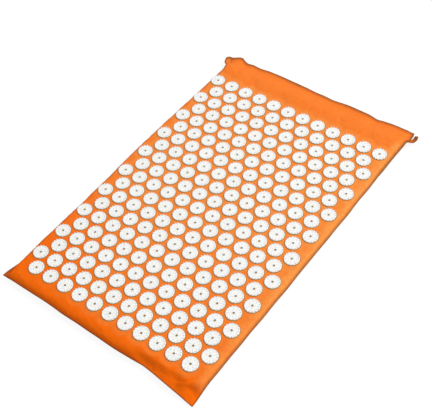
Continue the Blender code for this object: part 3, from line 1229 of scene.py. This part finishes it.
@dataclass
class HemStitching:
    """A row of lock stitches through the hem, seen on the top and on the underside."""

    cover: SewnCover
    finish: ThreadFinish
    inside: float = 7 * MM
    pitch: float = 3.3 * MM
    length: float = 2.7 * MM
    radius: float = 0.28 * MM
    step: float = 0.2 * MM
    rings: int = 5
    sides: int = 6

    def stitch(self) -> Form:
        """One stitch: a thread that rises out of the cloth and dips back, along +X.

        Its middle line is z = r * (1.2 cos(pi t) - 0.2) for t from -1/2 to 1/2, and its
        radius narrows to a half at both ends.
        """
        t = np.linspace(-0.5, 0.5, self.rings)[:, None]
        turn = circle_angles(self.sides)
        radius = self.radius * (0.5 + 0.5 * np.cos(np.pi * t))
        radius = np.maximum(radius, 0.45 * self.radius)
        z = self.radius * (1.2 * np.cos(np.pi * t) - 0.2) + radius * np.sin(turn)
        rings = stacked(t * self.length, radius * np.cos(turn), z)
        return tube(rings, (self.length, 6.3 * self.radius))

    def row(self, points: Grid, up: float) -> Form:
        """Stitches along a line, each turned to its tangent; up is the side that they show."""
        every = self.pitch / self.step
        index = np.arange(3 * every, len(points) - 3 * every, every).astype(int)
        tangent = unit(points[index + 4] - points[index - 4])
        side = unit(np.cross(np.array([0.0, 0.0, up]), tangent))
        turn = stacked(tangent, side, np.cross(tangent, side))
        return repeated(self.stitch(), turn, points[index])

    def build(self) -> list[bpy.types.Object]:
        """Make the stitches of both sides.

        Returns:
            The row on the top and the row on the underside.
        """
        made = []
        for place, points, up, slot in (
            ("top", self.cover.top_points, 1.0, "cover_cloth"),
            ("underside", self.cover.bottom_points, -1.0, "cover_cloth_underside"),
        ):
            line = self.cover.line_at(points, self.inside, self.step)
            row = self.row(line, up).object(f"hem_stitches_{place}")
            made.append(dress(row, self.finish, slot))
        return made


class Side(Enum):
    """The two sides of the cushion, by the sign of X."""

    LEFT = -1
    RIGHT = 1


def curve(knots: Sequence[Row], count: int) -> Grid:
    """A smooth line through a few points, by Catmull and Rom's rule.

    Between two points p1 and p2, with p0 before and p3 after them, it is half of
    2 p1 + (p2 - p0) t + (2 p0 - 5 p1 + 4 p2 - p3) t^2 + (3 p1 - p0 - 3 p2 + p3) t^3.

    Args:
        knots: The points.
        count: Number of points on the line.

    Returns:
        The line's points.
    """
    fixed = np.array(knots, float)
    fixed = np.concatenate([2 * fixed[:1] - fixed[1:2], fixed, 2 * fixed[-1:] - fixed[-2:-1]])
    place = np.linspace(0.0, len(knots) - 1 - 1e-9, count)
    index = place.astype(int)
    t = (place - index)[:, None]
    p0, p1, p2, p3 = (fixed[index + step] for step in range(4))
    square = (2 * p0 - 5 * p1 + 4 * p2 - p3) * t**2
    cube = (3 * p1 - p0 - 3 * p2 + p3) * t**3
    return (2 * p1 + (p2 - p0) * t + square + cube) / 2


@dataclass
class CornerTab:
    """A small loop: a narrow strip of the cover's cloth, rolled and sewn into the side seam."""

    side: Side
    form: CoverForm
    finish: ClothFinish
    route: tuple[Row, ...]
    half_width: float
    half_height: float
    # Strengths of painted shade: on the tab away from its root, and along the whole of it.
    painted_rim_shade: float
    painted_body_shade: float = 0.0
    narrowing: float = 0.0
    free_end: bool = False
    end_height: float = 0.6 * MM
    squareness: float = 0.8
    steps: int = 64
    corners: int = 16

    def seam(self, y: Grid) -> Grid:
        """How far from the middle the side seam lies at y."""
        return self.form.right_edge(y) if self.side is Side.RIGHT else -self.form.left_edge(y)

    def build(self) -> bpy.types.Object:
        """Make the tab.

        The route gives points outside the seam, along it and above its level. The section is a
        squarish oval, (cos, sin) each to the power 0.8, flat where the strip enters the seam,
        and the strip's own fold runs along its upper side as a shallow groove. A free end is
        closed by a round cap, sqrt(1 - t^2) over the last tenth.

        Returns:
            The tab.
        """
        outwards = self.side.value
        line = curve(self.route, self.steps)
        share = np.linspace(0, 1, self.steps)[:, None]
        y = line[:, 1]
        middle = np.full(1, y.mean())
        seam = self.seam(middle)
        level = self.form.seam_level(outwards * seam, middle)
        centre = stacked(outwards * (seam + line[:, 0]), y, level + line[:, 2])
        tangent = unit(np.gradient(centre, axis=0))
        across = unit(np.cross(tangent, np.array([0.0, 0.0, 1.0])))
        above = np.cross(across, tangent)
        free = ramp(line[:, 0], -0.5, 5)[:, None]
        turn = circle_angles(self.corners)
        oval = stacked(np.cos(turn), np.sin(turn))
        wide, high = np.moveaxis(np.sign(oval) * np.abs(oval) ** self.squareness, -1, 0)
        groove = 1 - 0.12 * hump(turn, np.pi * 0.25, 0.22)
        place = (line[:, 1:2] + 0 * turn, turn * 2 * MM)
        crumple = 1 + 0.07 * relief(31 + outwards, *place, 6 * MM)
        past = np.clip(share - 0.9, 0.0, 0.1) * 9.9
        cap = np.sqrt(1 - past**2) if self.free_end else 1.0
        wide = wide * groove * self.half_width * (1 - self.narrowing * share) * crumple * cap
        high = high * groove * (self.end_height + (self.half_height - self.end_height) * free)
        high = high * cap
        rings = centre[:, None] + across[:, None] * wide[..., None]
        rings += above[:, None] * high[..., None]
        length = float(running_length(centre[None], 1)[0, -1])
        form = tube(rings, (length, 4 * (self.half_width + self.half_height)))
        # Painted shade on the tab: darker away from where it enters the seam, and on the loose tab
        # all along, more towards its free end; it also takes a little painted light.
        root = np.array([outwards * (float(seam[0]) - 1 * MM), float(y.mean()) - 3 * MM])
        away = np.linalg.norm(rings[..., :2] - root, axis=-1)
        painted_tab_shade = self.painted_rim_shade * ramp(away, 4.0, 7.5) + self.painted_body_shade * (0.6 + 0.7 * share)
        form.marks = {"crease": np.clip(painted_tab_shade, 0, 1).ravel(), "painted_light": 0.3 + 0 * painted_tab_shade.ravel()}
        name = f"corner_tab_{self.side.name.lower()}"
        return dress(form.object(f"{name}_loop"), self.finish, "cover_cloth", name)


def turns_about_z(angle: Grid) -> Grid:
    """Matrices that turn about Z, one for each angle."""
    cos, sin = np.cos(angle), np.sin(angle)
    return stacked(cos, -sin, 0.0, sin, cos, 0.0, 0.0, 0.0, 1.0).reshape(-1, 3, 3)


def circles(radius: Row, level: Row, corners: int) -> Grid:
    """Rings of points about Z, one for each radius and level.

    Args:
        radius: Radius of each ring.
        level: Height of each ring.
        corners: Number of points in a ring.

    Returns:
        Rings by corners by 3.
    """
    turn = circle_angles(corners)
    out, up = np.array(radius)[:, None], np.array(level)[:, None]
    return stacked(out * np.cos(turn), out * np.sin(turn), up)


@dataclass(frozen=True)
class SpikeRing:
    """A ring of equal spikes: how many, how far out, and their radius at foot and tip."""

    count: int
    reach: float
    foot: float
    tip: float


@dataclass
class SpikedDisc:
    """One moulded disc: a thin plate with a hole, a lip round it, and three rings of spikes."""

    radius: float
    height: float
    crown: float
    hole: float = 2.0 * MM
    segments: int = 20
    spike_sides: int = 4
    rings: tuple[SpikeRing, ...] = (
        SpikeRing(15, 12.3 * MM, 1.15 * MM, 0.55 * MM),
        SpikeRing(8, 8.4 * MM, 0.6 * MM, 0.2 * MM),
        SpikeRing(5, 4.8 * MM, 0.6 * MM, 0.2 * MM),
    )

    def plate(self) -> Form:
        """The plate: a closed section, from the hole out underneath and back above, turned
        about the middle."""
        rim, top = self.radius - 0.4 * MM, self.crown
        radius = (self.hole, rim - 0.3 * MM, rim, rim - 0.6 * MM)
        radius += (self.hole + 2.0 * MM, self.hole + 0.2 * MM)
        level = (0.0, 0.0, top - 0.4 * MM, top, top - 0.1 * MM, top + 0.15 * MM)
        points = circles(radius, level, self.segments).swapaxes(0, 1)
        index = np.arange(self.segments * len(radius)).reshape(self.segments, len(radius))
        index = np.concatenate([index, index[:1]]).ravel()
        quads = index[grid_quads(self.segments + 1, len(radius), True)]
        # Mark for painted shade: full at the hole's foot and under the rim, less up the rim's wall
        # and on the hole's lip.
        corner = np.tile(np.array([1, 1, 0.25, 0, 0, 0.1]), self.segments)
        return Form(points.reshape(-1, 3), [quads], None, {"corner": corner}).outward()

    def spike(self, ring: SpikeRing) -> Form:
        """One spike of a ring: a blunt pyramid."""
        level = (self.crown - 0.2 * MM, self.height)
        form = tube(circles((ring.foot, ring.tip), level, self.spike_sides))
        # A faint painted shade at the spike's foot.
        form.marks = {"corner": np.repeat(np.array([0.08, 0.0]), self.spike_sides)}
        return form

    def ring(self, order: int) -> Form:
        """One ring of spikes, each turned to face outwards."""
        ring = self.rings[order]
        angle = 2 * np.pi * (np.arange(ring.count) + 0.5 * order) / ring.count
        shift = ring.reach * stacked(np.cos(angle), np.sin(angle), 0.0)
        return repeated(self.spike(ring), turns_about_z(angle), shift)

    def form(self) -> Form:
        """Plate and spikes as one form."""
        return joined([self.plate(), *(self.ring(order) for order in range(len(self.rings)))])


@dataclass
class DiscRows:
    """Every row of discs, one piece a row, and the adhesive and painted shade under them."""

    form: CoverForm
    disc: SpikedDisc
    plastic: PlasticFinish
    adhesive: AdhesiveAndShadeFinish
    base: float
    film_radius: float = 14.7 * MM
    film_corners: int = 20

    def centres(self, row: int) -> Grid:
        """Centres of a row's discs."""
        count = self.form.short_row + row % 2
        x = (np.arange(count) - (count - 1) / 2) * self.form.disc_pitch
        return stacked(x, self.form.first_row + row * self.form.row_pitch, self.base)

    def film(self) -> Form:
        """The adhesive of one disc, partly painted shade: a low dome that fills the hole's bottom.
        """
        radius = (self.film_radius, self.film_radius, self.film_radius - 0.5 * MM)
        level = (-0.15 * MM, 0.12 * MM, 0.18 * MM)
        return tube(circles(radius, level, self.film_corners))

    def build(self) -> None:
        """Make the rows, each disc turned its own way and of its own tone, and the adhesive."""
        single = self.disc.form()
        draw = np.random.default_rng(3)
        rows = [self.centres(row) for row in range(self.form.rows)]
        for number, centre in enumerate(rows, 1):
            turn = turns_about_z(draw.uniform(0, 2 * np.pi, len(centre)))
            form = repeated(single, turn, centre)
            batch = draw.uniform(0.975, 1.0, len(centre))
            form.marks["batch"] = np.repeat(batch, len(single.points))
            piece = form.object(f"spiked_discs_row_{number:02d}", 30.0)
            dress(piece, self.plastic, "disc_plastic", f"disc_row_{number:02d}")
        places = np.concatenate(rows)
        still = turns_about_z(np.zeros(len(places)))
        # The adhesive reaches past each plate, so its brown rim paints shade round the disc.
        film = repeated(self.film(), still, places).object("disc_adhesive_and_shade")
        dress(film, self.adhesive, "cover_cloth")


# Studio


@dataclass
class Studio:
    """Camera, light, pale floor and white surroundings."""

    camera_place: Row = (0.7271, -0.8142, 1.2969)
    camera_turn: Row = (40.0422, 4.245, 36.8982)
    camera_lens: float = 79.71
    world_level: float = 0.565
    key_power: float = 251.0
    key_place: Row = (3.3, 2.9, 4.4)
    key_size: float = 2.6
    floor_reach: float = 6.0
    floor_drop: float = 0.1 * MM
    floor_bounce: float = 0.55
    floor_shade: float = 0.14
    floor_lift: float = 0.895

    def stand(self, name: str, data: bpy.types.ID, place: Row) -> bpy.types.Object:
        """Put a camera or a lamp into the scene."""
        made = bpy.data.objects.new(name, data)
        made.location = place
        bpy.context.scene.collection.objects.link(made)
        return made

    def camera(self) -> None:
        """Stand the camera where the photograph was taken from."""
        data = bpy.data.cameras.new("camera")
        data.lens = self.camera_lens
        data.sensor_width = 36.0
        camera = self.stand("camera", data, self.camera_place)
        camera.rotation_euler = np.radians(self.camera_turn).tolist()
        bpy.context.scene.camera = camera

    def key(self) -> None:
        """A square soft light that points at the cushion's middle."""
        data = bpy.data.lights.new("key", "AREA")
        data.size = self.key_size
        data.energy = self.key_power
        lamp = self.stand("key", data, self.key_place)
        lamp.rotation_euler = (-Vector(self.key_place)).to_track_quat("-Z", "Y").to_euler()

    def world(self) -> None:
        """Even white light, and plain white where the camera or a mirror looks past the floor."""
        world = bpy.data.worlds.new("surroundings")
        bpy.context.scene.world = world
        world.use_nodes = True
        graph = Graph(world.node_tree)
        path = graph.add("LightPath")
        seen = graph.maths("MAXIMUM", path["Is Camera Ray"], path["Is Glossy Ray"])
        seen = graph.maths("MAXIMUM", seen, path["Is Transmission Ray"])
        level = graph.spread(seen, 0.0, 1.0, self.world_level, 1.0)
        graph.feed(world.node_tree.nodes["Background"], {"Color": WHITE, "Strength": level})

    def floor(self) -> None:
        """A wide pale floor, lifted to white for the camera, which keeps a light shadow."""
        corners = np.array([(-1, -1), (1, -1), (1, 1), (-1, 1)]) * self.floor_reach
        corners = np.column_stack([corners, np.full(4, -self.floor_drop)])
        floor = Form(corners, [np.arange(4)[None, :]]).object("floor")
        made = bpy.data.materials.new("pale_floor")
        made.use_nodes = True
        graph = Graph(made.node_tree)
        seen = graph.add("LightPath")["Is Camera Ray"]
        pale = [(level, level, level, 1.0) for level in (self.floor_bounce, self.floor_shade)]
        inputs = {
            "Base Color": graph.mix(seen, *pale),
            "Roughness": 0.9,
            "Specular IOR Level": 0.0,
            "Emission Color": WHITE,
            "Emission Strength": graph.maths("MULTIPLY", seen, self.floor_lift),
        }
        graph.feed(made.node_tree.nodes["Principled BSDF"], inputs)
        floor.data.materials.append(made)

    def build(self) -> None:
        """Set up everything, and plain colours."""
        self.camera()
        self.key()
        self.world()
        self.floor()
        bpy.context.scene.view_settings.view_transform = "Standard"


def cover_form() -> CoverForm:
    """Read the cover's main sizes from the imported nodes."""
    _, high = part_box("cover_top_panel")
    foam_low, foam_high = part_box("foam_pad")
    first_low, first_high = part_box("disc_row_01")
    second_low, second_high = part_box("disc_row_02")
    return CoverForm(
        half_width=high[0],
        half_length=high[1],
        crest=first_low[2],
        seam=(foam_low[2] + foam_high[2]) / 2,
        disc_radius=DISC_RADIUS,
        disc_pitch=(second_high[0] - second_low[0]) - (first_high[0] - first_low[0]),
        row_pitch=second_low[1] - first_low[1],
        first_row=(first_low[1] + first_high[1]) / 2,
        short_row=11,
        rows=20,
    )


def build_tabs(form: CoverForm, finish: ClothFinish) -> None:
    """Make both corner tabs: a whole loop on the left, and one that has come loose."""
    CornerTab(
        Side.LEFT,
        form,
        finish,
        route=metres(
            (-6.0, 306.0, 0.0), (-1.2, 306.4, 0.3), (2.2, 308.6, 1.2), (3.8, 312.6, 1.9),
            (2.8, 316.2, 2.2), (-0.6, 317.6, 1.6), (-6.0, 317.2, 0.0),
        ),
        half_width=5.3 * MM,
        half_height=2.2 * MM,
        painted_rim_shade=0.9,
    ).build()
    CornerTab(
        Side.RIGHT,
        form,
        finish,
        route=metres(
            (-6.9, 310.0, 0.0), (-3.7, 310.4, -0.4), (0.7, 311.8, -1.6), (4.1, 315.6, -2.0),
            (5.5, 320.2, -1.0), (5.4, 324.4, 0.2), (4.8, 326.4, 1.0),
        ),
        half_width=4.6 * MM,
        half_height=2.3 * MM,
        painted_rim_shade=0.4,
        painted_body_shade=0.5,
        narrowing=0.3,
        free_end=True,
    ).build()


def main() -> None:
    """Build the cushion's pieces in order, then the studio."""
    logging.basicConfig(level=logging.INFO, format="%(message)s")
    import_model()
    form = cover_form()
    orange = ClothFinish("orange_cotton", (247, 106, 0))
    # The underside is the top's cotton in a darker colour, as painted shade.
    cover = SewnCover(form, orange, ClothFinish("orange_cotton_shaded_underside", (236, 96, 4)))
    top, bottom = cover.build()
    foam = FoamSlab(form, FoamFinish("cream_foam", (238, 228, 200))).build()
    hooks, loops = (TapeFinish(f"{face.value}_tape", (225, 95, 15), face) for face in TapeFace)
    ClosingTapes(form, hooks, loops).build()
    over, under = HemStitching(cover, ThreadFinish("orange_thread", (252, 136, 44))).build()
    build_tabs(form, orange)
    low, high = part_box("disc_row_01")
    disc = SpikedDisc(radius=DISC_RADIUS, height=high[2] - low[2], crown=1.5 * MM)
    plastic = PlasticFinish("white_plastic", (250, 251, 248))
    # Brown adhesive that also paints shade round the discs and in their holes.
    adhesive = AdhesiveAndShadeFinish("brown_adhesive_and_shade", (150, 126, 58))
    DiscRows(form, disc, plastic, adhesive, low[2]).build()
    Studio().build()


if __name__ == "__main__":
    main()
